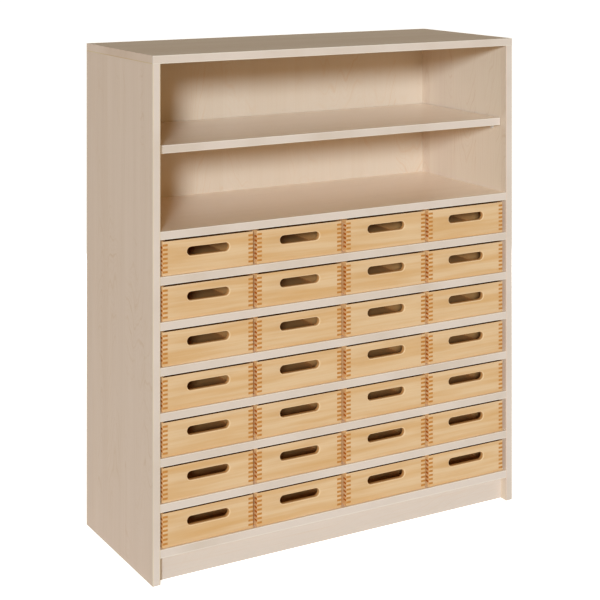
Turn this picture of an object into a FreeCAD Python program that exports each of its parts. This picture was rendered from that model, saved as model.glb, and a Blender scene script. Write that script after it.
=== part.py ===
import FreeCAD, Part
import math
import os
import Sketcher
from FreeCAD import Vector

# A wooden cabinet: an open compartment with one adjustable shelf, above rows of small drawers.
# The origin is on the floor, under the middle of the cabinet. X is to the right, Y to the back.
# Lengths are millimetres.

DRIVING_DIMENSIONS = [
    ("overall_width", 1020, "over the side panels"),
    ("overall_depth", 400, "front edges to rear edges"),
    ("overall_height", 1200, "floor to the top face"),
    ("board", 19, "thickness of every carcass board"),
    ("edge_band", 2, "thickness of the band on a front edge"),
    ("plinth_height", 60, "floor to the underside of the bottom shelf"),
    ("plinth_recess", 23, "front edges to the plinth's face"),
    ("row_opening", 84, "clear height of one row of drawers"),
    ("back_thickness", 8, "thickness of the back panel"),
    ("back_inset", 10, "rear edges to the back panel"),
    ("groove_depth", 6, "depth of the groove that holds the back panel"),
    ("groove_play", 0.5, "room between the back panel's edge and the groove's floor"),
    ("side_gap", 7.5, "side panel to the nearest drawer"),
    ("pair_gap", 10, "between two drawers of one half"),
    ("centre_gap", 13, "between the two halves"),
    ("drawer_recess", 5, "front edges to a drawer's face"),
    ("drawer_top_gap", 5.2, "room above a drawer"),
    ("drawer_run_gap", 0.3, "room under a drawer"),
    ("drawer_stop_gap", 1, "back of a closed drawer to the back panel"),
    ("wall", 13, "thickness of a drawer's front, sides and back"),
    ("base", 4, "thickness of a drawer's bottom"),
    ("base_lift", 4, "underside of a drawer to its bottom"),
    ("finger", 5.1, "height of one finger of the corner joint"),
    ("slot_length", 108, "hand slot, end to end"),
    ("slot_height", 20, "hand slot, high"),
    ("slot_drop", 29, "drawer's top edge to the slot's middle"),
    ("guide_height", 12, "height of a guide strip"),
    ("guide_setback", 30, "front edges to the guide strips"),
    ("guide_play", 0.5, "room between a drawer and a guide strip"),
    ("loose_drop", 8, "adjustable shelf below the middle of its compartment"),
    ("loose_recess", 22, "front edges to the adjustable shelf"),
    ("loose_end_gap", 3, "room at each end of the adjustable shelf"),
    ("loose_back_gap", 2, "room behind the adjustable shelf"),
    ("pin_setback", 60, "front edges, and the back panel, to a shelf pin"),
    ("pin_shank", 5, "diameter of the pin in the panel"),
    ("pin_play", 0.2, "room round the shank, on the radius"),
    ("pin_grip", 10, "length of the shank in the panel"),
    ("pin_collar", 9, "diameter of the collar"),
    ("pin_collar_thickness", 1.5, "thickness of the collar"),
    ("pin_tongue_length", 10, "panel to the end of the tongue"),
    ("pin_tongue_width", 7, "width of the tongue under the shelf"),
    ("pin_tongue_thickness", 1.6, "thickness of the tongue"),
]

ROWS = 7
HALVES = (-1, 1)

# The drawers are alike. To keep the facets few, the finger joints are cut in the upper rows only.
JOINTED_ROWS = 3

# Each place that several pieces share is worked out once, from the driving dimensions.
SHARED_PLACES = [
    ("front", "-dims.overall_depth / 2"),
    ("rear", "dims.overall_depth / 2"),
    ("inner_width", "dims.overall_width - 2 * dims.board"),
    ("panel_height", "dims.overall_height - dims.board"),
    ("core_front", "front + dims.edge_band"),
    ("back_face", "rear - dims.back_inset - dims.back_thickness"),
    ("core_depth", "back_face - core_front"),
    ("row_pitch", "dims.row_opening + dims.board"),
    ("first_row", "dims.plinth_height + dims.board"),
    ("compartment_floor", f"first_row + {ROWS} * row_pitch"),
    ("compartment_height", "panel_height - compartment_floor"),
    ("loose_underside", "compartment_floor + (compartment_height - dims.board) / 2 - dims.loose_drop"),
    ("loose_front", "front + dims.loose_recess"),
    ("loose_length", "inner_width - 2 * dims.loose_end_gap"),
    ("front_pin", "front + dims.pin_setback"),
    ("rear_pin", "back_face - dims.pin_setback"),
    ("pin_rise", "dims.pin_collar / 2"),
    ("pin_centre", "loose_underside - pin_rise"),
    ("drawer_room", "inner_width - 2 * dims.side_gap - 2 * dims.pair_gap - dims.centre_gap"),
    ("drawer_width", "drawer_room / 4"),
    ("drawer_height", "dims.row_opening - dims.drawer_top_gap - dims.drawer_run_gap"),
    ("drawer_front", "front + dims.drawer_recess"),
    ("drawer_depth", "back_face - dims.drawer_stop_gap - drawer_front"),
    ("inner_column", "(dims.centre_gap + drawer_width) / 2"),
    ("outer_column", "inner_column + drawer_width + dims.pair_gap"),
    ("fingers", "floor((drawer_height / dims.finger - 1) / 2)"),
    ("end_tab", "(drawer_height - (2 * fingers - 1) * dims.finger) / 2"),
    ("guide_front", "front + dims.guide_setback"),
    ("guide_length", "back_face - guide_front"),
]

# The top lies on the side panels.
TOP_UNDERSIDE = "places.panel_height"

doc = FreeCAD.newDocument("cabinet")


def fill_sheets():
    """The driving dimensions, and the places that follow from them."""
    dims = doc.addObject("Spreadsheet::Sheet", "dims")
    for line, (alias, value, note) in enumerate(DRIVING_DIMENSIONS, 1):
        dims.set(f"A{line}", alias)
        dims.set(f"B{line}", str(value))
        dims.set(f"C{line}", note)
        dims.setAlias(f"B{line}", alias)
    places = doc.addObject("Spreadsheet::Sheet", "places")
    for line, (alias, formula) in enumerate(SHARED_PLACES, 1):
        places.set(f"A{line}", alias)
        places.set(f"B{line}", "=" + formula)
        places.setAlias(f"B{line}", alias)
    doc.recompute()


def tie(thing, **expressions):
    """Binds properties, or an object's place, to expressions."""
    for name, expression in expressions.items():
        path = "Placement.Base." + name if name in ("x", "y", "z") else name
        thing.setExpression(path, expression)


def plane(body, role):
    return next(part for part in body.Origin.OriginFeatures if part.Role == role)


def new_body(name, **place):
    body = doc.addObject("PartDesign::Body", name)
    body.Label = name
    tie(body, **place)
    return body


def new_sketch(body, name, role):
    """A sketch on one of the body's own planes."""
    sketch = body.newObject("Sketcher::SketchObject", name)
    sketch.AttachmentSupport = [(plane(body, role), "")]
    sketch.MapMode = "FlatFace"
    return sketch


def hold(sketch, kind, *places_and_value):
    """Adds a measured constraint and ties it to its expression, the last argument."""
    *places, expression = places_and_value
    value = float(sketch.evalExpression(expression))
    index = sketch.addConstraint(Sketcher.Constraint(kind, *places, value))
    sketch.setExpression(f"Constraints[{index}]", expression)


def add_outline(sketch, *points):
    """A closed outline of straight lines. Each point is a pair of expressions."""
    where = [Vector(*(float(sketch.evalExpression(part)) for part in point), 0) for point in points]
    first = sketch.GeometryCount
    for here, there in zip(where, where[1:] + where[:1]):
        sketch.addGeometry(Part.LineSegment(here, there), False)
    for number, (across, along) in enumerate(points):
        line = first + number
        following = first + (number + 1) % len(points)
        sketch.addConstraint(Sketcher.Constraint("Coincident", line, 2, following, 1))
        hold(sketch, "DistanceX", -1, 1, line, 1, across)
        hold(sketch, "DistanceY", -1, 1, line, 1, along)


def add_rectangle(sketch, left, low, right, high):
    add_outline(sketch, (left, low), (right, low), (right, high), (left, high))


def add_circle(sketch, across, along, radius):
    middle = Vector(float(sketch.evalExpression(across)), float(sketch.evalExpression(along)), 0)
    size = float(sketch.evalExpression(radius))
    circle = sketch.addGeometry(Part.Circle(middle, Vector(0, 0, 1), size), False)
    hold(sketch, "DistanceX", -1, 1, circle, 3, across)
    hold(sketch, "DistanceY", -1, 1, circle, 3, along)
    hold(sketch, "Radius", circle, radius)


def add_stadium(sketch, reach, along, radius):
    """A level slot about the sketch's upright axis, whose two round ends have their middles at reach."""
    half = float(sketch.evalExpression(reach))
    level = float(sketch.evalExpression(along))
    size = float(sketch.evalExpression(radius))
    ends = []
    for turn, middle_x in ((-math.pi / 2, half), (math.pi / 2, -half)):
        ring = Part.Circle(Vector(middle_x, level, 0), Vector(0, 0, 1), size)
        ends.append(sketch.addGeometry(Part.ArcOfCircle(ring, turn, turn + math.pi), False))
    right, left = ends
    top, low = Vector(0, level + size, 0), Vector(0, level - size, 0)
    over = sketch.addGeometry(Part.LineSegment(top + Vector(half, 0, 0), top - Vector(half, 0, 0)), False)
    under = sketch.addGeometry(Part.LineSegment(low - Vector(half, 0, 0), low + Vector(half, 0, 0)), False)
    for one, its_end, other, other_end in (
        (right, 2, over, 1),
        (over, 2, left, 1),
        (left, 2, under, 1),
        (under, 2, right, 1),
    ):
        sketch.addConstraint(Sketcher.Constraint("Tangent", one, its_end, other, other_end))
    sketch.addConstraint(Sketcher.Constraint("Equal", left, right))
    hold(sketch, "DistanceX", -1, 1, right, 3, reach)
    hold(sketch, "DistanceX", left, 3, -1, 1, reach)
    hold(sketch, "DistanceY", -1, 1, right, 3, along)
    sketch.addConstraint(Sketcher.Constraint("Horizontal", left, 3, right, 3))
    hold(sketch, "Radius", right, radius)


def pad(body, sketch, length, name, backwards=False):
    feature = body.newObject("PartDesign::Pad", name)
    feature.Profile = sketch
    feature.Reversed = backwards
    tie(feature, Length=length)
    return feature


def pocket(body, sketch, length, name, forwards=False):
    """A cut against the sketch's normal, or along it."""
    feature = body.newObject("PartDesign::Pocket", name)
    feature.Profile = sketch
    feature.Reversed = forwards
    tie(feature, Length=length)
    return feature


def repeat_upwards(body, feature, length, count, name):
    """Copies a cut up the body's Z axis, evenly over a length."""
    pattern = body.newObject("PartDesign::LinearPattern", name)
    pattern.Originals = [feature]
    pattern.Direction = (plane(body, "Z_Axis"), [""])
    tie(pattern, Length=length, Occurrences=count)
    body.Tip = pattern
    return pattern


def board(name, wide, deep, high, **place):
    """A plain board about its own middle in X, from its front face back and from its underside up."""
    body = new_body(name, **place)
    sketch = new_sketch(body, name + "_outline", "XY_Plane")
    add_rectangle(sketch, f"-({wide}) / 2", "0", f"({wide}) / 2", deep)
    pad(body, sketch, high, name + "_board")
    return body


def side_panel(name, side):
    """A side panel, from its inner face outwards, with the back panel's groove and the pin holes."""
    body = new_body(name, x=f"{side} * places.inner_width / 2")
    outline = new_sketch(body, name + "_outline", "XY_Plane")
    add_rectangle(outline, "0", "places.core_front", f"{side} * dims.board", "places.rear")
    pad(body, outline, "places.panel_height", name + "_board")
    groove = new_sketch(body, name + "_groove_end", "XY_Plane")
    groove_rear = "places.back_face + dims.back_thickness"
    add_rectangle(groove, "0", "places.back_face", f"{side} * dims.groove_depth", groove_rear)
    pocket(body, groove, "places.panel_height", name + "_groove", forwards=True)
    holes = new_sketch(body, name + "_pin_circles", "YZ_Plane")
    for along in ("places.front_pin", "places.rear_pin"):
        add_circle(holes, along, "places.pin_centre", "dims.pin_shank / 2 + dims.pin_play")
    pocket(body, holes, "dims.pin_grip + 1", name + "_pin_holes", forwards=side > 0)
    return body


def top_panel():
    """The top, which covers the side panels, with a stopped groove for the back panel."""
    size = ("dims.overall_width - 2 * dims.edge_band", "places.rear - places.core_front", "dims.board")
    body = board("top_panel", *size, y="places.core_front", z=TOP_UNDERSIDE)
    groove = new_sketch(body, "top_groove_outline", "XY_Plane")
    reach = "(places.inner_width / 2 + dims.groove_depth)"
    groove_front = "places.back_face - places.core_front"
    add_rectangle(groove, "-" + reach, groove_front, reach, groove_front + " + dims.back_thickness")
    pocket(body, groove, "dims.groove_depth", "top_groove", forwards=True)
    return body


def back_panel():
    slack = "(dims.groove_depth - dims.groove_play)"
    return board(
        "back_panel",
        f"places.inner_width + 2 * {slack}",
        "dims.back_thickness",
        f"places.panel_height - dims.plinth_height + {slack}",
        y="places.back_face",
        z="dims.plinth_height",
    )


def shelf(name, underside):
    """A shelf between the side panels, from behind its edge band to the back panel."""
    size = ("places.inner_width", "places.core_depth", "dims.board")
    return board(name, *size, y="places.core_front", z=underside)


def plinth_boards():
    """The front plinth under the bottom shelf, and a rear one in line with the back panel's face."""
    front = "places.front + dims.plinth_recess"
    rear = "places.back_face - dims.board"
    size = ("places.inner_width", "dims.board", "dims.plinth_height")
    return [board("front_plinth", *size, y=front), board("rear_plinth", *size, y=rear)]


def loose_shelf():
    depth = "places.back_face - dims.loose_back_gap - places.loose_front - dims.edge_band"
    return board(
        "loose_shelf",
        "places.loose_length",
        depth,
        "dims.board",
        y="places.loose_front + dims.edge_band",
        z="places.loose_underside",
    )


def shelf_top(row):
    """The level of the shelf that a row of drawers stands on. Row 1 is the top row."""
    return f"places.first_row + {ROWS - row} * places.row_pitch"


def band(name, wide, high, **place):
    return board(name, wide, "dims.edge_band", high, **place)


def group(name, pieces, **place):
    """Several separate solids under one name."""
    compound = doc.addObject("Part::Compound", name)
    compound.Label = name
    compound.Links = pieces
    tie(compound, **place)
    return compound


def edge_bands(shelf_levels):
    """The bands on the front edges, and on the two ends of the top."""
    upright = [
        band(
            f"panel_band_{number}",
            "dims.board",
            "places.panel_height",
            x=f"{side} * (places.inner_width + dims.board) / 2",
            y="places.front",
        )
        for number, side in enumerate(HALVES, 1)
    ]
    level = [
        band(f"shelf_band_{number}", "places.inner_width", "dims.board", y="places.front", z=underside)
        for number, underside in enumerate(shelf_levels, 1)
    ]
    over = [band("top_front_band", "dims.overall_width", "dims.board", y="places.front", z=TOP_UNDERSIDE)]
    end_size = ("dims.edge_band", "places.rear - places.core_front", "dims.board")
    for number, side in enumerate(HALVES, 1):
        end = f"{side} * (dims.overall_width - dims.edge_band) / 2"
        place = {"x": end, "y": "places.core_front", "z": TOP_UNDERSIDE}
        over.append(board(f"top_end_band_{number}", *end_size, **place))
    loose = band(
        "loose_shelf_band",
        "places.loose_length",
        "dims.board",
        y="places.loose_front",
        z="places.loose_underside",
    )
    return [
        group("side_panel_bands", upright),
        group("shelf_bands", level),
        group("top_bands", over),
        loose,
    ]


def shelf_pins():
    """Four metal pins. Each has a shank in the panel, a collar against it and a tongue under the shelf.

    The tongue is level with the top of the collar.
    """
    pin = new_body("pin")
    shank = new_sketch(pin, "pin_shank_circle", "YZ_Plane")
    add_circle(shank, "0", "0", "dims.pin_shank / 2")
    pad(pin, shank, "dims.pin_grip", "pin_shank_pad", backwards=True)
    collar = new_sketch(pin, "pin_collar_circle", "YZ_Plane")
    add_circle(collar, "0", "0", "dims.pin_collar / 2")
    pad(pin, collar, "dims.pin_collar_thickness", "pin_collar_pad")
    tongue = new_sketch(pin, "pin_tongue_outline", "YZ_Plane")
    half, low = "dims.pin_tongue_width / 2", "places.pin_rise - dims.pin_tongue_thickness"
    add_rectangle(tongue, "-" + half, low, half, "places.pin_rise")
    pad(pin, tongue, "dims.pin_tongue_length", "pin_tongue_pad")
    pins = []
    for side in HALVES:
        for where in ("front", "rear"):
            name = f"{where}_pin_{'left' if side < 0 else 'right'}"
            copy = group(name, [pin], y=f"places.{where}_pin", z="places.pin_centre")
            tie(copy, x=f"{side} * places.inner_width / 2")
            if side > 0:
                copy.Placement.Rotation = FreeCAD.Rotation(Vector(0, 0, 1), 180)
            pins.append(copy)
    return group("shelf_pins", pins)


def row_guides():
    """Low strips on each shelf, between the drawers and beside the outer ones."""
    strips = []
    between = "(places.inner_column + (places.drawer_width + dims.pair_gap) / 2)"
    outside = "(places.inner_width - (dims.side_gap - dims.guide_play)) / 2"
    wanted = [("middle", "dims.centre_gap - 2 * dims.guide_play", "0")]
    for side in HALVES:
        hand = "left" if side < 0 else "right"
        wanted.append((hand + "_pair", "dims.pair_gap - 2 * dims.guide_play", f"{side} * {between}"))
        wanted.append((hand + "_edge", "dims.side_gap - dims.guide_play", f"{side} * {outside}"))
    for name, wide, across in wanted:
        size = (wide, "places.guide_length", "dims.guide_height")
        strips.append(board(name + "_strip", *size, x=across, y="places.guide_front"))
    return [group(f"guide_strips_row_{row}", strips, z=shelf_top(row)) for row in range(1, ROWS + 1)]


def drawer_front(jointed):
    """A drawer's front, with its hand slot.

    A jointed one has sockets for the sides' fingers, and mitred corners above and below them.
    """
    name = "jointed_front" if jointed else "plain_front"
    body = board(name, "places.drawer_width", "dims.wall", "places.drawer_height")
    if jointed:
        half = "places.drawer_width / 2"
        sockets = new_sketch(body, "socket_outlines", "XZ_Plane")
        mitres = new_sketch(body, "front_mitre_outlines", "XY_Plane")
        for side in HALVES:
            outer, inner = f"{side} * {half}", f"{side} * ({half} - dims.wall)"
            add_rectangle(sockets, outer, "places.end_tab", inner, "places.end_tab + dims.finger")
            add_outline(mitres, (outer, "0"), (outer, "dims.wall"), (inner, "dims.wall"))
        first = pocket(body, sockets, "dims.wall", "first_sockets")
        repeat_upwards(body, first, "2 * (places.fingers - 1) * dims.finger", "places.fingers", "sockets")
        corner = pocket(body, mitres, "places.end_tab", "low_front_mitres", forwards=True)
        repeat_upwards(body, corner, "places.drawer_height - places.end_tab", "2", "front_mitres")
    slot = new_sketch(body, name + "_slot_outline", "XZ_Plane")
    reach = "(dims.slot_length - dims.slot_height) / 2"
    add_stadium(slot, reach, "places.drawer_height - dims.slot_drop", "dims.slot_height / 2")
    body.Tip = pocket(body, slot, "dims.wall", name + "_hand_slot")
    return body


def drawer_side(jointed):
    """A drawer's left side, from its outer face in.

    A jointed one reaches the drawer's face, where its fingers fill the front's sockets.
    """
    name = "jointed_left_side" if jointed else "plain_left_side"
    body = new_body(name, x="-places.drawer_width / 2")
    outline = new_sketch(body, name + "_outline", "XY_Plane")
    start = "0" if jointed else "dims.wall"
    add_rectangle(outline, "0", start, "dims.wall", "places.drawer_depth")
    pad(body, outline, "places.drawer_height", name + "_board")
    if jointed:
        notch = new_sketch(body, "notch_outline", "YZ_Plane")
        low = "places.end_tab + dims.finger"
        add_rectangle(notch, "0", low, "dims.wall", low + " + dims.finger")
        first = pocket(body, notch, "dims.wall", "first_notch", forwards=True)
        length = "2 * (places.fingers - 2) * dims.finger"
        repeat_upwards(body, first, length, "places.fingers - 1", "notches")
        mitre = new_sketch(body, "side_mitre_outline", "XY_Plane")
        add_outline(mitre, ("0", "0"), ("dims.wall", "0"), ("dims.wall", "dims.wall"))
        corner = pocket(body, mitre, "places.end_tab", "low_side_mitre", forwards=True)
        repeat_upwards(body, corner, "places.drawer_height - places.end_tab", "2", "side_mitres")
    return body


def drawer_boards():
    """The five boards of a jointed drawer and of a plain one, about the middle of its front face."""
    inside = "places.drawer_width - 2 * dims.wall"
    rear = "places.drawer_depth - dims.wall"
    back = board("drawer_back", inside, "dims.wall", "places.drawer_height", y=rear)
    length = "places.drawer_depth - 2 * dims.wall"
    bottom = board("drawer_bottom", inside, length, "dims.base", y="dims.wall", z="dims.base_lift")
    kinds = {}
    for jointed in (True, False):
        left = drawer_side(jointed)
        right = doc.addObject("Part::Mirroring", left.Label.replace("left", "right"))
        right.Source = left
        right.Normal = Vector(1, 0, 0)
        kinds[jointed] = [drawer_front(jointed), left, right, back, bottom]
    return kinds


def drawers():
    """All drawers, as copies of the same boards. Row 1 is the top row, column 1 the left one."""
    kinds = drawer_boards()
    columns = ["-places.outer_column", "-places.inner_column", "places.inner_column", "places.outer_column"]
    copies = []
    for row in range(1, ROWS + 1):
        underside = shelf_top(row) + " + dims.drawer_run_gap"
        boards = kinds[row <= JOINTED_ROWS]
        for number, column in enumerate(columns, 1):
            name = f"drawer_row_{row}_column_{number}"
            copies.append(group(name, boards, x=column, y="places.drawer_front", z=underside))
    return copies


def carcass():
    """Every fixed board, with its edge bands."""
    pieces = [side_panel("left_side_panel", -1), side_panel("right_side_panel", 1)]
    pieces += [top_panel(), back_panel()]
    levels = ["dims.plinth_height"]
    pieces.append(shelf("bottom_shelf", levels[0]))
    for row in range(1, ROWS):
        levels.append(shelf_top(row) + " - dims.board")
        pieces.append(shelf(f"shelf_under_row_{row}", levels[-1]))
    levels.append("places.compartment_floor - dims.board")
    pieces.append(shelf("fixed_shelf", levels[-1]))
    return pieces + plinth_boards() + edge_bands(levels)


def check(pieces):
    """Stops if any object failed, if a cut took nothing away, or if a piece isn't sound."""
    for thing in doc.Objects:
        if "Invalid" in thing.State or "Error" in thing.State:
            raise RuntimeError(f"{thing.Name} failed: {thing.State}")
        if thing.TypeId == "PartDesign::Pocket" and thing.Shape.Volume >= thing.BaseFeature.Shape.Volume:
            raise RuntimeError(f"{thing.Name} cuts nothing")
    for piece in pieces:
        shape = piece.Shape
        if shape.isNull() or not shape.isValid() or not shape.Solids:
            raise RuntimeError(f"{piece.Label} isn't a sound solid")


def main():
    fill_sheets()
    pieces = carcass() + [loose_shelf(), shelf_pins()] + row_guides() + drawers()
    doc.recompute()
    check(pieces)
    os.makedirs("parts", exist_ok=True)
    for piece in pieces:
        piece.Shape.exportStep(f"parts/{piece.Label}.step")
    print(len(pieces), "nodes,", sum(len(piece.Shape.Solids) for piece in pieces), "solids")


main()
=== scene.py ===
import bmesh
import bpy
import math
import random
from mathutils import Matrix, Vector


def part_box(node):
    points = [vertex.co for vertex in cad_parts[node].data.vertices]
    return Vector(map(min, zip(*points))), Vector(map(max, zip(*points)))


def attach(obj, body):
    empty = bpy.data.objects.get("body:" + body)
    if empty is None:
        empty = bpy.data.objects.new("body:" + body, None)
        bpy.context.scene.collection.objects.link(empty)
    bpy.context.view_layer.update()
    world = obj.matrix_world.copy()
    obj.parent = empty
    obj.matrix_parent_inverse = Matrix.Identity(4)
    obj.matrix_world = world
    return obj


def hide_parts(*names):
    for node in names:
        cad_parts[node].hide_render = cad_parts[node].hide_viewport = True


# The looks of a wooden cabinet with drawers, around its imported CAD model. Lengths are metres.

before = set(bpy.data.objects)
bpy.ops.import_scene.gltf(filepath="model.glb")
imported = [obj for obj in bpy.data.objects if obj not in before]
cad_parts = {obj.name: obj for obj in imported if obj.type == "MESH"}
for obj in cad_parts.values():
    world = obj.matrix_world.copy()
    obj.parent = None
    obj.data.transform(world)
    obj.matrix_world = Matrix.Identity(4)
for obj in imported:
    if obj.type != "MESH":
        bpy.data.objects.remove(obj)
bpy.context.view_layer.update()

MM = 0.001
X, Y, Z = range(3)
ROWS, COLUMNS = 7, 4

# A drawer, as the CAD model has it
WALL = 13 * MM
BASE = 4 * MM
BASE_LIFT = 4 * MM
FINGER = 5.1 * MM
FINGERS = 7
SLOT_LENGTH = 108 * MM
SLOT_HEIGHT = 20 * MM
SLOT_DROP = 29 * MM

# How far a drawer is rounded at its upright corners, at the slot's rim and at its upper and lower edges
CORNER_RADIUS = 1.3 * MM
RIM_RADIUS = 2.6 * MM
EDGE_RADIUS = 0.6 * MM

# The bands on the edges of the boards
BAND_THICKNESS = 2 * MM
BAND_RADIUS = 0.35 * MM
BAND_LINE_WIDTH = 1.5 * MM

# A shelf pin has a shank in the wall, a round head against the wall and a flat tongue under the shelf.
# The CAD model has a collar for the head. The collar's top is level with the tongue's.
PIN_COLLAR_RADIUS = 4.5 * MM
PIN_SHANK_RADIUS = 2.5 * MM
PIN_SHANK_LENGTH = 8 * MM
PIN_HEAD_RADIUS = 8 * MM
PIN_HEAD_THICKNESS = 1.5 * MM
PIN_CHAMFER = 0.4 * MM
PIN_TONGUE_START = 1.4 * MM
PIN_TONGUE_END = 11.5 * MM
PIN_TONGUE_WIDTH = 7 * MM
PIN_TONGUE_THICKNESS = 1.6 * MM
PIN_TONGUE_RADIUS = 0.5 * MM

# Into how many stretches the rounded parts are divided
EDGE_STEPS = 3
RIM_STEPS = 4
SLOT_END_STEPS = 12
PIN_STEPS = 24
PIN_TONGUE_STEPS = 2

# The slant of a drawer's mitres and one stretch of its rounded corners, in degrees
MITRE = 45
CORNER_STEP = 22.5

# Edges with a sharper turn than this stay sharp
SHARP_TURN = math.radians(32)

# Places less than this apart count as one
TINY = 0.001 * MM

# Corners of a drawer's faces are joined where they fall on the same point of a fine grid
POINTS_TO_THE_METRE = 1e7

# Each board of a drawer is cut from a random place of a timber so long, wide and thick, and each band from
# one of a sheet so long and wide. The seed gives the same places in each run.
TIMBER_LENGTH = 40
TIMBER_WIDTH = 4
SHEET_LENGTH = 9
SEED = 7


# Colours, as a swatch shows them, from 0 to 255


def swatch(red, green, blue):
    """The same colour in linear light, with full cover."""
    def straight(part):
        part /= 255
        return part / 12.92 if part <= 0.04045 else ((part + 0.055) / 1.055) ** 2.4
    return (straight(red), straight(green), straight(blue), 1.0)


BOARD = swatch(227, 203, 184)
BOARD_LINE = swatch(207, 172, 134)
BOARD_SHADE = swatch(215, 188, 166)
# The back panel gets a darker, warmer copy of the laminate: painted shade for the warm shade inside the
# compartments
BACK_PAINTED_SHADE = swatch(213, 194, 172)
BACK_DARK_TONE_PAINTED_SHADE = swatch(205, 182, 156)
TOP = swatch(218, 200, 183)
TOP_SHADE = swatch(208, 187, 166)
# The right side panel gets a brighter copy of the laminate: painted light for its lit inner face
RIGHT_BOARD_PAINTED_LIGHT = swatch(232, 213, 190)
# The shelves get a brighter copy of the laminate: painted light for the brighter shelf tops inside the
# compartments
SHELF_PAINTED_LIGHT = swatch(247, 225, 201)
SHELF_DARK_TONE_PAINTED_LIGHT = swatch(240, 216, 191)
PLINTH = swatch(215, 200, 187)
PLINTH_SHADE = swatch(205, 188, 171)
BAND = swatch(220, 205, 193)
BAND_LINE = swatch(205, 188, 170)
# A pale painted highlight beside the arrises of the bands
BAND_PALE_PAINTED_HIGHLIGHT = swatch(230, 219, 205)
BAND_CREAM = swatch(224, 206, 178)
JOINT_LINE = swatch(224, 200, 156)
PINE = swatch(217, 178, 131)
PINE_STREAK = swatch(208, 160, 99)
PINE_PALE = swatch(223, 190, 149)
# A warmer, deeper copy of the pine for the drawers' sides and backs: painted shade
PINE_SIDE_PAINTED_SHADE = swatch(234, 184, 124)
PINE_SIDE_STREAK_PAINTED_SHADE = swatch(224, 166, 98)
PINE_SIDE_PALE_PAINTED_SHADE = swatch(238, 196, 142)
# A deeper, browner copy of the pine for the drawers' inner faces, bottoms and the inside of the slots:
# painted shade
PINE_INSIDE_PAINTED_SHADE = swatch(218, 159, 96)
PINE_INSIDE_STREAK_PAINTED_SHADE = swatch(206, 143, 79)
# A pale painted highlight on the slot's rim
PINE_RIM_PAINTED_HIGHLIGHT = swatch(236, 201, 155)
END_GRAIN = swatch(197, 136, 70)
END_GRAIN_RING = swatch(178, 112, 52)
# A darker copy of the end grain for the fronts' ends seen on the drawers' sides: painted shade
SIDE_END_GRAIN_PAINTED_SHADE = swatch(196, 112, 40)
SIDE_END_GRAIN_RING_PAINTED_SHADE = swatch(176, 90, 26)
# Dark brown painted shade on the top edges of the drawer fronts, so that the gap above each drawer shows dark
TOP_EDGE_PAINTED_SHADE = swatch(92, 48, 14)
TOP_EDGE_RING_PAINTED_SHADE = swatch(70, 34, 9)
STEEL = swatch(247, 249, 252)
STEEL_DULL = swatch(225, 228, 232)


# Shader nodes


def feed(place, thing):
    """Sets a node's socket to a number or a colour, or links it to a value."""
    if isinstance(thing, Value):
        thing.socket.id_data.links.new(thing.socket, place)
    else:
        place.default_value = thing


def put(tree, kind, settings=None, **sockets):
    """Adds a node. Its settings are set first, then the values or links of its sockets."""
    node = tree.nodes.new("ShaderNode" + kind)
    for name, setting in (settings or {}).items():
        setattr(node, name, setting)
    for name, thing in sockets.items():
        feed(node.inputs[name.replace("_", " ")], thing)
    return node


def join(tree, kind, one, other, **sockets):
    """One shader of two others, mixed or added."""
    node = put(tree, kind, **sockets)
    places = [place for place in node.inputs if place.type == "SHADER"]
    for place, shader in zip(places, (one, other)):
        feed(place, Value(shader.outputs[0]))
    return node


class Value:
    """A socket of a node tree. An expression on values adds its Math nodes."""

    def __init__(self, socket):
        self.socket = socket

    def math(self, operation, *things, clamp=False):
        """What a Math node makes of numbers and values."""
        node = put(self.socket.id_data, "Math", {"operation": operation, "use_clamp": clamp})
        for place, thing in zip(node.inputs, things):
            feed(place, thing)
        return Value(node.outputs[0])

    def __add__(self, other):
        return self.math("ADD", self, other)

    def __sub__(self, other):
        return self.math("SUBTRACT", self, other)

    def __rsub__(self, other):
        return self.math("SUBTRACT", other, self)

    def __mul__(self, other):
        return self.math("MULTIPLY", self, other)

    def __truediv__(self, other):
        return self.math("DIVIDE", self, other)

    def __rtruediv__(self, other):
        return self.math("DIVIDE", other, self)

    __radd__ = __add__
    __rmul__ = __mul__

    def floor(self):
        return self.math("FLOOR", self)

    def fraction(self):
        return self.math("FRACT", self)

    def size(self):
        return self.math("ABSOLUTE", self)

    def clipped(self):
        """The value, kept between 0 and 1."""
        return self.math("ADD", self, 0, clamp=True)

    def rise(self, low, high):
        """0 below low, 1 above high, and a smooth step between them. It falls if high is below low."""
        node = put(
            self.socket.id_data, "MapRange", {"interpolation_type": "SMOOTHSTEP"},
            Value=self, From_Min=low, From_Max=high,
        )
        return Value(node.outputs["Result"])

    def swing(self, strength, middle=0.5):
        """How far the value is from a middle, times a strength."""
        return (self - middle) * strength

    def lines(self, reach):
        """1 where the value is halfway between two whole numbers, and 0 further than reach from there."""
        return (self.fraction() - 0.5).size().rise(reach, 0)


def third_axis(one, other):
    """The axis that two others leave."""
    return X + Y + Z - one - other


# The sockets of a Mix node for colours: its share, its two colours and its result
MIX_INPUTS = (0, 6, 7)
MIX_OUTPUT = 2

# The name under which a mesh keeps each point's place in its own board
GRAIN = "grain"


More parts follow.
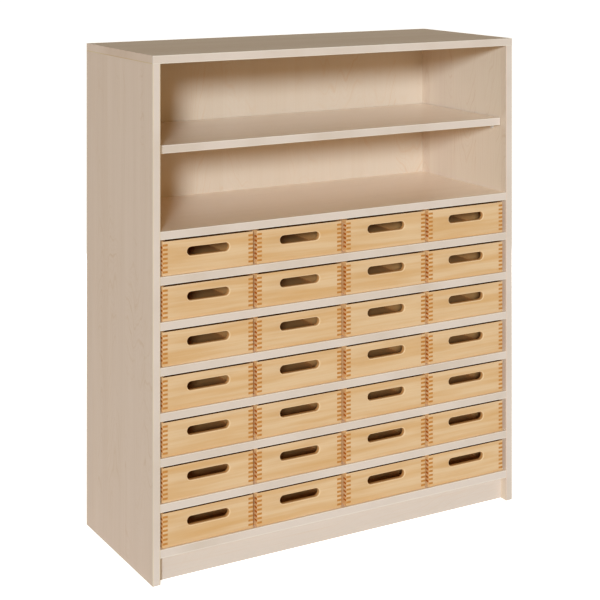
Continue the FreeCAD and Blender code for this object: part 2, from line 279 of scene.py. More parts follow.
class Finish:
    """A material in the making."""

    def __init__(self, name):
        self.material = bpy.data.materials.new(name)
        self.material.use_nodes = True
        self.tree = self.material.node_tree
        self.tree.nodes.clear()

    def node(self, kind, settings=None, **sockets):
        return put(self.tree, kind, settings, **sockets)

    def parts(self, vector):
        """The three parts of a vector."""
        return [Value(output) for output in self.node("SeparateXYZ", Vector=vector).outputs]

    def place(self):
        """Where a point of a CAD board is."""
        return self.parts(Value(self.node("TexCoord").outputs["Object"]))

    def grain_place(self):
        """Where a point is in its own board: along the grain, through it and across it."""
        return self.parts(Value(self.node("Attribute", {"attribute_name": GRAIN}).outputs["Vector"]))

    def noise(self, x, y, z, detail=2):
        """Cloudy values about 0.5. A length times a number has about that many clouds to the metre."""
        place = Value(self.node("CombineXYZ", X=x, Y=y, Z=z).outputs[0])
        return Value(self.node("TexNoise", Vector=place, Scale=1, Detail=detail).outputs[0])

    def draw(self, number):
        """Three numbers from 0 to 1 that belong to a whole number."""
        node = self.node("TexWhiteNoise", {"noise_dimensions": "1D"}, W=number)
        return self.parts(Value(node.outputs["Color"]))

    def mix(self, share, one, other):
        """A colour between two others."""
        node = self.node("Mix", {"data_type": "RGBA"})
        for number, thing in zip(MIX_INPUTS, (share, one, other)):
            feed(node.inputs[number], thing)
        return Value(node.outputs[MIX_OUTPUT])

    def done(self, colour, roughness, height=None, bump=0, depth=0.1 * MM, **others):
        """Ends the material with its shader. Without a height the surface is even."""
        shader = self.node("BsdfPrincipled", Base_Color=colour, Roughness=roughness, **others)
        if height is not None:
            relief = self.node("Bump", Height=height, Strength=bump, Distance=depth)
            feed(shader.inputs["Normal"], Value(relief.outputs["Normal"]))
        return self.ended(shader)

    def ended(self, shader):
        self.node("OutputMaterial", Surface=Value(shader.outputs[0]))
        return self.material


# The figure printed on the boards. Staves lie side by side. In each, lines form arches that point along
# it, from flat to steep, and drift and ripple a little.
STAVE = 108 * MM
ARCH_SPACING = 64 * MM
ARCH_FLATTEST, ARCH_STEEPEST = -700, 1900
ARCH_DRIFT = 5.5
ARCH_RIPPLE = 0.6
FINE_LINES_TO_AN_ARCH = 3.3

# The print changes through a board: so many clouds to the metre, and so many draws to a cloud. This tells
# the shelves apart. Steps keep the draws of two finishes, two levels or two staves apart.
CLOUDS_THROUGH = 2
DRAWS_TO_A_CLOUD = 5
FINISH_STEP = 7.3
LEVEL_STEP = 3.1
STAVE_STEP = 3.7


def laminate(
    name, along, across, seed, shift, figure, streaks=0.8, base=BOARD, shade=BOARD_SHADE,
    gloss=0.25, matt=0.52, coat=0,
):
    """Pale maple foil, printed as staves side by side, with fine streaks and faint arched figure.

    along and across are the axes of the grain. seed and shift give each finish a print of its own, and
    figure and streaks are how strongly its lines and its fine streaks show.
    """
    finish = Finish(name)
    place = finish.place()
    length, width = place[along], place[across]
    layer = place[third_axis(along, across)] * CLOUDS_THROUGH + seed
    level = (layer * DRAWS_TO_A_CLOUD).floor()
    stave = (width + shift) / STAVE
    number = stave.floor()
    first, second, third = finish.draw(number + seed * FINISH_STEP + level * LEVEL_STEP)

    def clouds(along, across, start=0, deeper=0, detail=2):
        """Noise with so many clouds to the metre along and across the board. A draw gives its start."""
        return finish.noise(length * along + start, width * across, layer + deeper, detail=detail)

    drift = clouds(along=3.1, across=13, start=first * 9)
    ripple = clouds(along=16, across=30, deeper=7)
    bend = finish.noise(length * 4.5 + third * 8, number * STAVE_STEP, layer + 11, detail=1)
    off_middle = (stave.fraction() - 0.5 - second.swing(0.8) + bend.swing(0.5)) * STAVE
    steepness = third * (ARCH_STEEPEST - ARCH_FLATTEST) + ARCH_FLATTEST
    arch = length / ARCH_SPACING + first * 20 + off_middle * off_middle * steepness
    arch = arch + drift * ARCH_DRIFT + ripple * ARCH_RIPPLE
    line = arch.lines(reach=0.12)
    fine_line = (arch * FINE_LINES_TO_AN_ARCH).lines(reach=0.3)
    faint = clouds(along=2.6, across=8, start=second * 5, deeper=3).rise(0.44, 0.64)
    hair = clouds(along=5, across=420, detail=3)
    cloud = clouds(along=1.1, across=26, start=third * 6, detail=3)
    fleck = clouds(along=75, across=140, detail=1).rise(0.79, 0.84)
    colour = finish.mix(cloud.swing(0.9, middle=0.3) + third.swing(0.4), base, shade)
    colour = finish.mix(hair.swing(streaks).clipped(), colour, BOARD_LINE)
    marks = (line + fine_line * 0.4) * faint * figure + fleck * 0.35
    colour = finish.mix(marks.clipped(), colour, BOARD_LINE)
    return finish.done(
        colour, matt + hair.swing(0.1), hair, bump=0.02,
        Specular_IOR_Level=gloss, Coat_Weight=coat, Coat_Roughness=0.2,
    )


def banding(name, base, line):
    """The edge band, with faint darker tones along it."""
    finish = Finish(name)
    length, through, width = finish.grain_place()
    hair = finish.noise(length * 6, through * 340, width, detail=3)
    cloud = finish.noise(length * 3, through * 150, width + 4)
    tone = hair.swing(2.0, middle=0.42) + cloud.swing(1.6)
    colour = finish.mix(tone.clipped(), base, line)
    return finish.done(colour, 0.5 + hair.swing(0.2), hair, bump=0.05, Specular_IOR_Level=0.2)


def cut_ends(name, colour, ring_colour, gloss=0.05):
    """Cut pores with darker rings, as on the ends of the drawers' boards."""
    finish = Finish(name)
    length, through, width = finish.grain_place()
    ring = finish.noise(through * 160, width * 130, length * 0.5, detail=3)
    pore = finish.noise(through * 1500, width * 1500, length * 0.5)
    tone = ring.swing(1.6, middle=0.35) + pore.swing(0.8)
    colour = finish.mix(tone.clipped(), colour, ring_colour)
    return finish.done(colour, 0.7, pore, bump=0.15, depth=0.2 * MM, Specular_IOR_Level=gloss)


# The year rings in the drawers' timber. They wave a little, and drift by so many rings.
RING_SPACING = 6.5 * MM
RING_WAVE = 14 * MM
RING_DRIFT = 4


def drawer_timber(name, pale=PINE_PALE, middle=PINE, streak=PINE_STREAK, gloss=0.15):
    """Oiled pine with soft golden streaks."""
    finish = Finish(name)
    length, through, width = finish.grain_place()
    bend = finish.noise(length * 4, width * 20, through * 20)
    level = width + bend.swing(RING_WAVE)
    broad = finish.noise(length * 3.2, level * 55, through * 30, detail=3)
    hair = finish.noise(length * 9, level * 900, through * 300, detail=3)
    ring = level / RING_SPACING + finish.noise(length * 2, level * 30, through * 30) * RING_DRIFT
    colour = finish.mix(broad.rise(0.34, 0.6), pale, middle)
    colour = finish.mix(broad.rise(0.5, 0.78) * 0.6, colour, streak)
    marks = ring.lines(reach=0.25) * 0.12 + hair.swing(0.25)
    colour = finish.mix(marks.clipped(), colour, streak)
    return finish.done(colour, 0.45 + hair.swing(0.15), hair, bump=0.06, Specular_IOR_Level=gloss)


def plain_timber(name):
    """Planed timber of the guide strips, with its grain from front to back."""
    finish = Finish(name)
    x, y, z = finish.place()
    hair = finish.noise(y * 8, x * 600, z * 600, detail=3)
    cloud = finish.noise(y * 3, x * 60, z * 60 + 5)
    tone = hair.swing(0.9, middle=0.4) + (cloud - 0.5)
    colour = finish.mix(tone.clipped(), PINE, PINE_STREAK)
    return finish.done(colour, 0.55, hair, bump=0.08, Specular_IOR_Level=0.3)


def zinc(name):
    """Bright zinc on steel, slightly clouded."""
    finish = Finish(name)
    x, y, z = finish.place()
    cloud = finish.noise(x * 900, y * 900, z * 900, detail=3)
    colour = finish.mix((cloud - 0.3).clipped(), STEEL, STEEL_DULL)
    return finish.done(colour, 0.25 + cloud * 0.15, Metallic=0.15, Specular_IOR_Level=1.0)


# Mesh pieces


def add_object(name, data):
    """Puts an object in the scene."""
    made = bpy.data.objects.new(name, data)
    bpy.context.scene.collection.objects.link(made)
    return made


def mesh_from(name, build, finishes):
    """A mesh from a bmesh, smooth except at its sharp edges."""
    mesh = bpy.data.meshes.new(name)
    build.to_mesh(mesh)
    build.free()
    for finish in finishes:
        mesh.materials.append(finish)
    mesh.shade_smooth()
    mesh.set_sharp_from_angle(angle=SHARP_TURN)
    return mesh


def add_piece(name, mesh, body, node, place=(0, 0, 0)):
    """A piece of the cabinet. It rides on a body and stands for a CAD node."""
    piece = add_object(name, mesh)
    piece.location = place
    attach(piece, body)
    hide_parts(node)


def grain_layer(build):
    layers = build.verts.layers.float_vector
    return layers.get(GRAIN) or layers.new(GRAIN)


def mark_grain(build, faces, along, across, through, shift):
    """Writes where each corner of some faces is in its board: along the grain, through it, across it."""
    layer = grain_layer(build)
    for vertex in {vertex for face in faces for vertex in face.verts}:
        place = vertex.co
        vertex[layer] = Vector((place[along], place[through], place[across])) + Vector(shift)


def quarter_round(radius, steps):
    """Points of a rounded edge. Each has its distance behind the one face and behind the other."""
    turns = [math.pi / 2 * step / steps for step in range(steps + 1)]
    return [(radius * (1 - math.cos(turn)), radius * (1 - math.sin(turn))) for turn in turns]


def faces_between(here, there):
    """The corners of the faces between two rings of points."""
    for number in range(len(here)):
        following = (number + 1) % len(here)
        yield here[number], here[following], there[following], there[number]


def add_block(build, low, high, radius=0, rounded=None, steps=EDGE_STEPS):
    """Adds a block from corner to corner, and gives its faces.

    The edges for which rounded(start, end) is true are rounded.
    """
    made = bmesh.ops.create_cube(build, size=1)["verts"]
    for vertex in made:
        for axis in (X, Y, Z):
            vertex.co[axis] = high[axis] if vertex.co[axis] > 0 else low[axis]
    found = [face for vertex in made for face in vertex.link_faces]
    if rounded:
        edges = {edge for vertex in made for edge in vertex.link_edges}
        chosen = [edge for edge in edges if rounded(edge.verts[0].co, edge.verts[1].co)]
        result = bmesh.ops.bevel(
            build, geom=chosen, offset=radius, offset_type="OFFSET", segments=steps,
            profile=0.5, affect="EDGES",
        )
        found = result["faces"]
    faces = set()
    while found:
        face = found.pop()
        if face not in faces:
            faces.add(face)
            found += [other for edge in face.edges for other in edge.link_faces]
    return faces


# Bands on the edges of the boards


# The numbers of their finishes
# The pale lines beside the arrises are a painted highlight.
BODY, PALE_PAINTED_HIGHLIGHT, CREAM, END, JOINT = range(5)

# Where a band's outer face looks: the axis, and its way along the axis
FRONT = (Y, -1)
LEFT = (X, -1)
RIGHT = (X, 1)


# By default both lines are pale painted highlights.
def add_band(build, low, high, along, outward, shift, body=BODY, lines=(PALE_PAINTED_HIGHLIGHT, PALE_PAINTED_HIGHLIGHT)):
    """A strip glued to an edge. Its two outer arrises are rounded, and each has a thin line beside it.

    body and lines are the numbers of their finishes. The first line is at the lower or left arris.
    """
    axis, sign = outward
    across = third_axis(along, axis)
    width = high[across] - low[across]
    half = [(inset, BAND_THICKNESS - depth) for inset, depth in quarter_round(BAND_RADIUS, EDGE_STEPS)]
    half.append((BAND_RADIUS + BAND_LINE_WIDTH, BAND_THICKNESS))
    outline = [(0, 0)] + half + [(width - u, v) for u, v in reversed(half)] + [(width, 0)]
    rings = []
    for end in (low[along], high[along]):
        ring = []
        for u, v in outline:
            place = Vector((0, 0, 0))
            place[along] = end
            place[across] = low[across] + u
            place[axis] = low[axis] + v if sign > 0 else high[axis] - v
            ring.append(build.verts.new(place))
        rings.append(ring)
    near, far = rings
    faces = [build.faces.new(near), build.faces.new(far)]
    for face in faces:
        face.material_index = body
    in_line = len(half) - 1
    finishes = [body] + [lines[0]] * in_line + [body] + [lines[1]] * in_line + [body, body]
    for corners, finish in zip(faces_between(near, far), finishes):
        face = build.faces.new(corners)
        face.material_index = finish
        faces.append(face)
    bmesh.ops.recalc_face_normals(build, faces=faces)
    mark_grain(build, faces, along, across, axis, shift)


def front_band(board):
    """The place of the band on a board's front edge."""
    low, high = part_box(board)
    return Vector((low.x, low.y - BAND_THICKNESS, low.z)), Vector((high.x, low.y, high.z))


def bands(finishes, numbers):
    def edging(name, strips, body, node):
        build = bmesh.new()
        for (low, high), along, outward, *finish in strips:
            shift = (numbers.uniform(0, SHEET_LENGTH), 0, numbers.uniform(0, SHEET_LENGTH))
            add_band(build, low, high, along, outward, shift, *finish)
        add_piece(name, mesh_from(name, build, finishes), body, node)

    sides = [
        (front_band("left_side_panel"), Z, FRONT, BODY, (CREAM, CREAM)),
        (front_band("right_side_panel"), Z, FRONT, BODY, (END, PALE_PAINTED_HIGHLIGHT)),
    ]
    edging("side_panel_edging", sides, "carcass", "side_panel_bands")
    shelves = ["bottom_shelf", "fixed_shelf"] + [f"shelf_under_row_{row}" for row in range(1, ROWS)]
    edging("shelf_edging", [(front_band(board), X, FRONT) for board in shelves], "carcass", "shelf_bands")
    edging("loose_shelf_edging", [(front_band("loose_shelf"), X, FRONT)], "loose_shelf", "loose_shelf_band")

    # The top's front band also covers the ends of the bands at its left and right.
    top_low, top_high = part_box("top_panel")
    low, high = front_band("top_panel")
    out = Vector((BAND_THICKNESS, 0, 0))
    left = (top_low - out, Vector((top_low.x, top_high.y, top_high.z)))
    right = (Vector((top_high.x, top_low.y, top_low.z)), top_high + out)
    strips = [
        ((low - out, high + out), X, FRONT),
        (left, Y, LEFT, END, (JOINT, END)),
        (right, Y, RIGHT, END, (JOINT, END)),
    ]
    edging("top_edging", strips, "carcass", "top_bands")


# Drawers


# The numbers of their finishes
# Of these, the finishes of the fronts' top edges, the inner faces, the sides and the fronts' ends on the
# sides are painted shade, and the slot's rim a painted highlight.
TIMBER, FRONT_ENDS, UPPER_PAINTED_SHADE, INSIDE_PAINTED_SHADE, RIM_PAINTED_HIGHLIGHT, SIDE_PAINTED_SHADE, SIDE_ENDS_PAINTED_SHADE = range(7)

# How nearly a face looks along a direction to count as looking there
MOSTLY = 0.8
MORE_THAN_NOT = 0.7


def corner_arc(start, end, inset=0):
    """Points of a rounded outer corner in a board's own plan, from the end of the board to its face.

    At 0 degrees a point is on the board's end, and at 90 degrees on its outer face.
    """
    radius = CORNER_RADIUS - inset
    steps = round((end - start) / CORNER_STEP)
    points = []
    for step in range(steps + 1):
        turn = math.radians(start + step * CORNER_STEP)
        points.append((CORNER_RADIUS - radius * math.cos(turn), CORNER_RADIUS - radius * math.sin(turn)))
    return points


class BoardShell:
    """Faces of one board of a drawer, in its own place: along it, through it from the outer face, and up.

    A front has a finger joint at both ends, and a side at its front end. present says whether the board
    has the first of the joint's fingers.
    """

    def __init__(self, length, height, present, both_ends):
        self.length = length
        self.height = height
        self.present = present
        self.both_ends = both_ends
        # A side board gets the sides' painted shade.
        self.finish = TIMBER if both_ends else SIDE_PAINTED_SHADE
        self.faces = []
        self.end_tab = (height - (2 * FINGERS - 1) * FINGER) / 2

    def add(self, points, mirrored=False, finish=None):
        if mirrored:
            points = [(self.length - along, through, up) for along, through, up in reversed(points)]
        self.faces.append((points, self.finish if finish is None else finish))

    def wall(self, path, low, high, mirrored=False):
        """Upright faces over each stretch of a path."""
        for (a, b), (c, d) in zip(path, path[1:]):
            self.add([(a, b, low), (c, d, low), (c, d, high), (a, b, high)], mirrored)

    def slab(self, path, level, mirrored=False):
        self.add([(a, b, level) for a, b in path], mirrored)

    def joint(self, mirrored=False):
        """The fingers and gaps of the joint at one end, and the mitred shoulders above and below them."""
        levels = [self.end_tab + FINGER * number for number in range(2 * FINGERS)]
        inner, outer = (WALL, WALL), (WALL, 0)
        finger = [(0, WALL)] + corner_arc(0, 90)
        shoulder = [inner] + corner_arc(MITRE, 90)
        for number, (low, high) in enumerate(zip(levels, levels[1:])):
            if (number % 2 == 0) == self.present:
                self.wall(finger, low, high, mirrored)
                for level in (low, high):
                    if levels[0] < level < levels[-1]:
                        self.slab([inner] + finger + [outer], level, mirrored)
            else:
                self.wall([inner, outer], low, high, mirrored)
        for level in (levels[0], levels[-1]):
            if self.present:
                # The finger beside the mitre fills the whole corner, the mitre only its own half.
                self.slab([inner, (0, WALL)] + corner_arc(0, MITRE), level, mirrored)
            else:
                self.slab(shoulder + [outer], level, mirrored)
        for low, high in ((EDGE_RADIUS, levels[0]), (levels[-1], self.height - EDGE_RADIUS)):
            self.wall(shoulder, low, high, mirrored)

    def outline(self, inset):
        """The board seen from above, drawn in by inset, from the inner left corner round the outer face."""
        start = [(WALL - inset, WALL - inset)] + corner_arc(MITRE, 90, inset)
        if self.both_ends:
            end = [(self.length - along, through) for along, through in reversed(start)]
        else:
            end = [(self.length - inset, inset), (self.length - inset, WALL - inset)]
        return start + end

    def edges(self):
        """The rounded top and bottom edges with their caps."""
        rings = quarter_round(EDGE_RADIUS, EDGE_STEPS)
        for (inset, depth), (next_inset, next_depth) in zip(rings, rings[1:]):
            for a, b, c, d in faces_between(self.outline(inset), self.outline(next_inset)):
                for level, next_level in (
                    (depth, next_depth),
                    (self.height - depth, self.height - next_depth),
                ):
                    self.add([(*a, level), (*b, level), (*c, next_level), (*d, next_level)])
        cap = self.outline(EDGE_RADIUS)
        self.slab(cap, 0)
        self.slab(cap, self.height)

    def slot(self):
        """The hand slot, with its rim rounded on both faces. Next to the outer face the rim has a pale
        painted highlight.
        """
        middle = self.length / 2
        level = self.height - SLOT_DROP
        reach = (SLOT_LENGTH - SLOT_HEIGHT) / 2
        rings = [(wide, deep) for deep, wide in quarter_round(RIM_RADIUS, RIM_STEPS)]
        rings += [(wide, WALL - deep) for wide, deep in reversed(rings)]
        loops = []
        for wide, deep in rings:
            radius = SLOT_HEIGHT / 2 + wide
            loop = []
            for side in (1, -1):
                for step in range(SLOT_END_STEPS + 1):
                    turn = math.radians(180 * step / SLOT_END_STEPS - 90 * side)
                    along = middle + side * reach + radius * math.cos(turn)
                    loop.append((along, deep, level + radius * math.sin(turn)))
            loops.append(loop)
        half = RIM_STEPS // 2
        # Next to the outer face the rim gets a painted highlight, and the inside of the slot painted shade.
        finishes = [RIM_PAINTED_HIGHLIGHT] * half + [TIMBER] * half + [INSIDE_PAINTED_SHADE] * (len(loops) - 1 - 2 * half)
        for finish, here, there in zip(finishes, loops, loops[1:]):
            for corners in faces_between(here, there):
                self.add(corners, finish=finish)

    def into(self, build, place, shift):
        """Adds the board to a bmesh. place turns the board's own coordinates into the drawer's."""
        layer = grain_layer(build)
        shift = Vector(shift)
        verts = {}

        def vertex(point):
            key = tuple(round(part * POINTS_TO_THE_METRE) for part in point)
            if key not in verts:
                verts[key] = build.verts.new(place(*point))
                verts[key][layer] = Vector(point) + shift
            return verts[key]

        faces = []
        for points, finish in self.faces:
            corners = [vertex(point) for point in points]
            kept = [corner for number, corner in enumerate(corners) if corner is not corners[number - 1]]
            if len(kept) > 2:
                face = build.faces.new(kept)
                face.material_index = finish
                faces.append(face)
        build.normal_update()
        for through in (0, WALL):
            faces += self.fill(build, verts, through)
        bmesh.ops.recalc_face_normals(build, faces=faces)
        along = Vector(place(1, 0, 0)) - Vector(place(0, 0, 0))
        for face in faces:
            face.normal_update()
            places = [corner[layer] - shift for corner in face.verts]
            face.material_index = self.finish_of(face, places, along)

    def fill(self, build, verts, through):
        """Closes the board's flat face at that depth, round the slot if it has one."""
        level = round(through * POINTS_TO_THE_METRE)
        flat = {key: corner for key, corner in verts.items() if key[1] == level}
        inside = set(flat.values())
        rim = []
        for corner in flat.values():
            for edge in corner.link_edges:
                if len(edge.link_faces) == 1 and edge.other_vert(corner) in inside and edge not in rim:
                    rim.append(edge)
        filled = bmesh.ops.triangle_fill(build, use_beauty=True, edges=rim)
        faces = [item for item in filled["geom"] if isinstance(item, bmesh.types.BMFace)]
        for face in faces:
            face.material_index = self.finish
        return faces

    def finish_of(self, face, places, along):
        """The number of a face's finish. places are its corners in the board, and along points along it."""
        middle_height = sum(place.z for place in places) / len(places)
        # The top edge of a front gets a dark brown painted shade.
        if self.both_ends and face.normal.z > MOSTLY and middle_height > self.height - EDGE_RADIUS:
            return UPPER_PAINTED_SHADE
        # The front's ends, which show on the sides, get a darker painted shade.
        if abs(face.normal @ along) > MORE_THAN_NOT and self.at_end([place.x for place in places]):
            return SIDE_ENDS_PAINTED_SHADE if self.both_ends else FRONT_ENDS
        # Inner faces get painted shade.
        if all(abs(place.y - WALL) < TINY for place in places):
            return INSIDE_PAINTED_SHADE
        return face.material_index

    def at_end(self, reaches):
        """True on the end of the board, where its pores are cut."""
        near = max(reaches) < CORNER_RADIUS
        far = min(reaches) > self.length - CORNER_RADIUS
        return near or far


def drawer_mesh(name, size, finishes, numbers):
    """One drawer about the middle of its front, standing on the floor of its row."""
    width, depth, height = size
    build = bmesh.new()

    def shift():
        return [numbers.uniform(0, reach) for reach in (TIMBER_LENGTH, TIMBER_WIDTH, TIMBER_WIDTH)]

    front = BoardShell(width, height, present=False, both_ends=True)
    front.joint()
    front.joint(mirrored=True)
    front.edges()
    front.slot()
    front.into(build, lambda along, through, up: (along - width / 2, through, up), shift())

    for side in (-1, 1):
        board = BoardShell(depth, height, present=True, both_ends=False)
        board.joint()
        board.edges()
        board.wall([(depth, 0), (depth, WALL)], EDGE_RADIUS, height - EDGE_RADIUS)
        board.into(build, lambda along, through, up: (side * (width / 2 - through), along, up), shift())

    def long_edge(start, end):
        return abs(start.x - end.x) > TINY

    inside = width / 2 - WALL
    low, high = Vector((-inside, depth - WALL, 0)), Vector((inside, depth, height))
    faces = add_block(build, low, high, EDGE_RADIUS, long_edge)
    build.normal_update()
    # The back's inner face gets the insides' painted shade, and its other faces the sides' painted shade.
    for face in faces:
        face.material_index = INSIDE_PAINTED_SHADE if face.normal.y < -MOSTLY else SIDE_PAINTED_SHADE
    mark_grain(build, faces, along=X, across=Z, through=Y, shift=shift())
    low = Vector((-inside, WALL, BASE_LIFT))
    high = Vector((inside, depth - WALL, BASE_LIFT + BASE))
    faces = add_block(build, low, high)
    # The bottom gets the inner faces' painted shade.
    for face in faces:
        face.material_index = INSIDE_PAINTED_SHADE
    mark_grain(build, faces, along=X, across=Y, through=Z, shift=shift())
    return mesh_from(name, build, finishes)


def drawers(finishes, numbers):
    for row in range(1, ROWS + 1):
        for column in range(1, COLUMNS + 1):
            node = f"drawer_row_{row}_column_{column}"
            low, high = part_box(node)
            name = f"wooden_drawer_{row}_{column}"
            mesh = drawer_mesh(name, high - low, finishes, numbers)
            place = ((low.x + high.x) / 2, low.y, low.z)
            add_piece(name, mesh, f"drawer_{row}_{column}", node, place)


# Shelf pins


# The radius and the depth in the wall, from the shank's end to the head's face
PIN_OUTLINE = [
    (0, PIN_SHANK_LENGTH),
    (PIN_SHANK_RADIUS - PIN_CHAMFER, PIN_SHANK_LENGTH),
    (PIN_SHANK_RADIUS, PIN_SHANK_LENGTH - PIN_CHAMFER),
    (PIN_SHANK_RADIUS, 0),
    (PIN_HEAD_RADIUS - PIN_CHAMFER, 0),
    (PIN_HEAD_RADIUS, -PIN_CHAMFER),
    (PIN_HEAD_RADIUS, PIN_CHAMFER - PIN_HEAD_THICKNESS),
    (PIN_HEAD_RADIUS - PIN_CHAMFER, -PIN_HEAD_THICKNESS),
    (0, -PIN_HEAD_THICKNESS),
]


def add_pin(build, x, y, z, side):
    """The round part of a pin, turned about the x axis. x is at the wall's face."""
    turns = [2 * math.pi * step / PIN_STEPS for step in range(PIN_STEPS)]
    rings = []
    for radius, deep in PIN_OUTLINE:
        if radius:
            around = [(radius * math.cos(turn), radius * math.sin(turn)) for turn in turns]
            rings.append([build.verts.new((x + side * deep, y + v, z + w)) for v, w in around])
        else:
            rings.append([build.verts.new((x + side * deep, y, z))] * PIN_STEPS)
    faces = []
    for here, there in zip(rings, rings[1:]):
        for corners in faces_between(here, there):
            # A face at the shank's end or in the middle of the head has three corners.
            faces.append(build.faces.new(list(dict.fromkeys(corners))))
    bmesh.ops.recalc_face_normals(build, faces=faces)


def pins(finish):
    low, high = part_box("shelf_pins")
    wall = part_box("right_side_panel")[0].x
    level = high.z - PIN_COLLAR_RADIUS
    build = bmesh.new()
    for side in (-1, 1):
        for y in (low.y + PIN_COLLAR_RADIUS, high.y - PIN_COLLAR_RADIUS):
            add_pin(build, side * wall, y, level, side)
            ends = sorted((side * (wall - PIN_TONGUE_START), side * (wall - PIN_TONGUE_END)))
            tongue_low = Vector((ends[0], y - PIN_TONGUE_WIDTH / 2, high.z - PIN_TONGUE_THICKNESS))
            tongue_high = Vector((ends[1], y + PIN_TONGUE_WIDTH / 2, high.z))
            add_block(
                build, tongue_low, tongue_high, PIN_TONGUE_RADIUS,
                rounded=lambda start, end: True, steps=PIN_TONGUE_STEPS,
            )
    build.normal_update()
    name = "shelf_pin_fittings"
    add_piece(name, mesh_from(name, build, [finish]), "carcass", "shelf_pins")


# Finishes of the CAD boards that stay


def wear(finish, *nodes):
    """Gives CAD nodes another material."""
    for node in nodes:
        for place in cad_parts[node].material_slots:
            place.material = finish


def boards():
    left = laminate("side_board", along=Z, across=Y, seed=1, shift=42 * MM, figure=0.32)
    wear(left, "left_side_panel")
    # A brighter copy of the laminate on the right side panel: painted light
    right = laminate(
        "side_board_right_painted_light", along=Z, across=Y, seed=2, shift=70 * MM, base=RIGHT_BOARD_PAINTED_LIGHT,
        gloss=0.5, matt=0.35, figure=0.32,
    )
    wear(right, "right_side_panel")
    # A darker, warmer copy of the laminate on the back panel: painted shade
    back = laminate(
        "back_board_painted_shade", along=Z, across=X, seed=3, shift=30 * MM, base=BACK_PAINTED_SHADE, shade=BACK_DARK_TONE_PAINTED_SHADE,
        figure=0.42, streaks=0.6,
    )
    wear(back, "back_panel")
    top = laminate(
        "top_board", along=X, across=Y, seed=4, shift=10 * MM, base=TOP, shade=TOP_SHADE,
        gloss=0.02, figure=0.1,
    )
    wear(top, "top_panel")
    # A brighter copy of the laminate on the shelves: painted light
    level = laminate(
        "shelf_board_painted_light", along=X, across=Y, seed=5, shift=60 * MM, base=SHELF_PAINTED_LIGHT, shade=SHELF_DARK_TONE_PAINTED_LIGHT,
        gloss=0.8, matt=0.3, coat=0.45, figure=0.1, streaks=0.22,
    )
    wear(level, "bottom_shelf", "fixed_shelf", "loose_shelf")
    wear(level, *[f"shelf_under_row_{row}" for row in range(1, ROWS)])
    low = laminate(
        "plinth_board", along=X, across=Z, seed=6, shift=25 * MM, base=PLINTH, shade=PLINTH_SHADE, figure=0.15
    )
    wear(low, "front_plinth", "rear_plinth")
    wear(plain_timber("guide_timber"), *[f"guide_strips_row_{row}" for row in range(1, ROWS + 1)])


# The studio


# The camera stands where the photograph's did. It is level, and its frame hangs below the horizon, as in a
# picture taken with a rising front, so upright edges stay upright. The lens and the sensor are millimetres.
CAMERA_PLACE = Vector((-1.885, -3.261, 1.502))
CAMERA_YAW = math.radians(29.88)
FRAME_DROP = 0.25563
PHOTO_LENS = 88.68
SENSOR = 36


def camera():
    data = bpy.data.cameras.new("camera")
    data.sensor_width = SENSOR
    eye = add_object("camera", data)
    mount = add_object("camera_mount", None)
    right = Vector((math.cos(CAMERA_YAW), -math.sin(CAMERA_YAW), 0))
    up = Vector((0, 0, 1))
    ahead = Vector((math.sin(CAMERA_YAW), math.cos(CAMERA_YAW), 0)) - FRAME_DROP * up
    data.lens = PHOTO_LENS * ahead.length
    back = -ahead.normalized()
    eye.parent = mount
    eye.matrix_parent_inverse = Matrix((
        (right.x, up.x, back.x, CAMERA_PLACE.x),
        (right.y, up.y, back.y, CAMERA_PLACE.y),
        (right.z, up.z, back.z, CAMERA_PLACE.z),
        (0, 0, 0, 1),
    ))
    bpy.context.scene.camera = eye


WHITE = (1.0, 1.0, 1.0, 1.0)
AMBIENT = (0.228, 0.16, 0.053, 1.0)
KEY = (0.71, 0.855, 1.0)
KEY_STRENGTH = 3.02
KEY_SIDE = math.radians(32.0)
KEY_HEIGHT = math.radians(13.7)
KEY_SPREAD = math.radians(9)
KEY_DISTANCE = 6
FILL = (1.0, 0.54, 0.09)
FILL_POWER = 17
FILL_PLACE = Vector((-0.6, -3.6, 1.3))
FILL_SIZE = (3.0, 2.0)
REAR = (0.93, 0.97, 1.0)
REAR_POWER = 46
REAR_PLACE = Vector((1.3, 2.7, 0.62))
REAR_SIZE = (2.4, 1.0)
FLOOR_GREY = (0.8, 0.8, 0.8, 1.0)
FLOOR_GLOW = 0.8
FLOOR_REACH = 30
FLOOR_FIELDS = 8


def seen(tree):
    """1 for what the camera, a mirror or glass shows, and 0 for the light that falls on things."""
    path = put(tree, "LightPath")
    camera_ray, glossy, through = (
        Value(path.outputs[name]) for name in ("Is Camera Ray", "Is Glossy Ray", "Is Transmission Ray")
    )
    return (camera_ray + glossy + through).clipped()


def surroundings():
    """The light from all round, which shows as white."""
    world = bpy.data.worlds.new("studio")
    bpy.context.scene.world = world
    world.use_nodes = True
    tree = world.node_tree
    tree.nodes.clear()
    ambient = put(tree, "Background", Color=AMBIENT)
    white = put(tree, "Background", Color=WHITE)
    both = join(tree, "MixShader", ambient, white, Fac=seen(tree))
    put(tree, "OutputWorld", Surface=Value(both.outputs[0]))


def shine_from(lamp, direction):
    """Turns a lamp so that its light comes from a direction."""
    lamp.rotation_mode = "QUATERNION"
    lamp.rotation_quaternion = direction.to_track_quat("Z", "Y")


def lamps():
    """The key light and two soft lamps.

    A faint warm lamp in front reaches into the compartments. A soft lamp behind the cabinet, no higher
    than its top, lights the back and the right side only.
    """
    sun = bpy.data.lights.new("key", "SUN")
    sun.color = KEY
    sun.energy = KEY_STRENGTH
    sun.angle = KEY_SPREAD
    key = add_object("key", sun)
    source = Vector((
        -math.sin(KEY_SIDE) * math.cos(KEY_HEIGHT),
        -math.cos(KEY_SIDE) * math.cos(KEY_HEIGHT),
        math.sin(KEY_HEIGHT),
    ))
    key.location = source * KEY_DISTANCE
    shine_from(key, source)
    soft_lamp("fill", FILL, FILL_POWER, FILL_PLACE, FILL_SIZE)
    soft_lamp("rear", REAR, REAR_POWER, REAR_PLACE, REAR_SIZE)


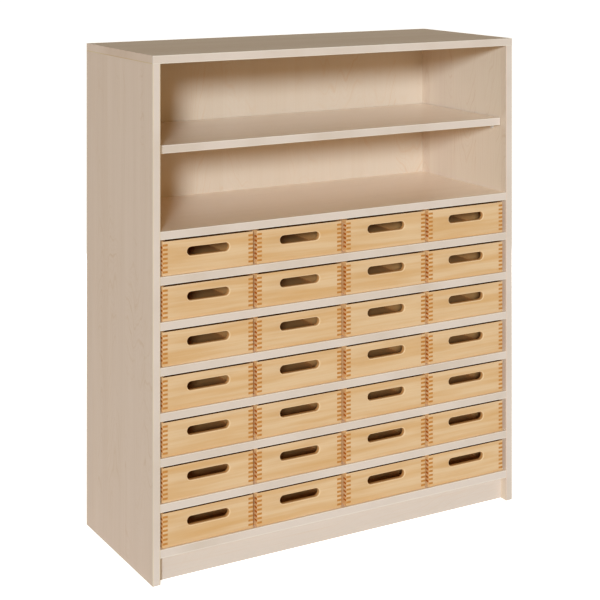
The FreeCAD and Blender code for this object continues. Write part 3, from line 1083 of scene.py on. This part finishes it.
def soft_lamp(name, colour, power, place, size):
    """A wide lamp that faces the upright line through the cabinet's middle."""
    area = bpy.data.lights.new(name, "AREA")
    area.color = colour
    area.energy = power
    area.shape = "RECTANGLE"
    area.size, area.size_y = size
    lamp = add_object(name, area)
    lamp.location = place
    shine_from(lamp, Vector((place.x, place.y, 0)))
    lamp.visible_camera = False
    lamp.visible_glossy = False


def floor():
    """A pale floor, which shows as white outside the shadow."""
    finish = Finish("floor_white")
    matt = finish.node("BsdfDiffuse", Color=FLOOR_GREY)
    glow = finish.node("Emission", Color=WHITE, Strength=FLOOR_GLOW)
    lit = join(finish.tree, "AddShader", matt, glow)
    both = join(finish.tree, "MixShader", matt, lit, Fac=seen(finish.tree))
    build = bmesh.new()
    bmesh.ops.create_grid(build, x_segments=FLOOR_FIELDS, y_segments=FLOOR_FIELDS, size=FLOOR_REACH)
    ground = add_object("floor", mesh_from("floor", build, [finish.ended(both)]))


def main():
    numbers = random.Random(SEED)
    boards()
    # In the order of the numbers of the bands' finishes
    edging = [
        banding("edge_banding", BAND, BAND_LINE),
        # Painted highlight beside the arrises
        banding("edge_banding_pale_painted_highlight", BAND_PALE_PAINTED_HIGHLIGHT, BAND),
        banding("edge_banding_cream", BAND_CREAM, BAND_LINE),
        banding("edge_banding_of_top_ends", BOARD, BOARD_SHADE),
        banding("edge_banding_at_joint", JOINT_LINE, BOARD_LINE),
    ]
    bands(edging, numbers)
    # In the order of the numbers of the drawers' finishes
    timbers = [
        drawer_timber("drawer_timber"),
        cut_ends("drawer_end_grain", END_GRAIN, END_GRAIN_RING),
        # Painted shade on the top edges of the fronts
        cut_ends("drawer_top_edge_painted_shade", TOP_EDGE_PAINTED_SHADE, TOP_EDGE_RING_PAINTED_SHADE, gloss=0.0),
        # Painted shade on the inner faces of the drawers
        drawer_timber("drawer_inside_painted_shade", PINE_INSIDE_PAINTED_SHADE, PINE_INSIDE_PAINTED_SHADE, PINE_INSIDE_STREAK_PAINTED_SHADE, gloss=0.0),
        # Painted highlight on the slot's rim
        drawer_timber("drawer_slot_rim_painted_highlight", PINE_RIM_PAINTED_HIGHLIGHT, PINE_RIM_PAINTED_HIGHLIGHT, PINE_PALE),
        # Painted shade on the drawers' sides
        drawer_timber("drawer_side_timber_painted_shade", PINE_SIDE_PALE_PAINTED_SHADE, PINE_SIDE_PAINTED_SHADE, PINE_SIDE_STREAK_PAINTED_SHADE),
        # Painted shade on the fronts' ends that show on the sides
        cut_ends("drawer_side_end_grain_painted_shade", SIDE_END_GRAIN_PAINTED_SHADE, SIDE_END_GRAIN_RING_PAINTED_SHADE),
    ]
    drawers(timbers, numbers)
    pins(zinc("pin_zinc"))
    floor()
    surroundings()
    lamps()
    camera()
    bpy.context.scene.view_settings.view_transform = "Standard"


main()
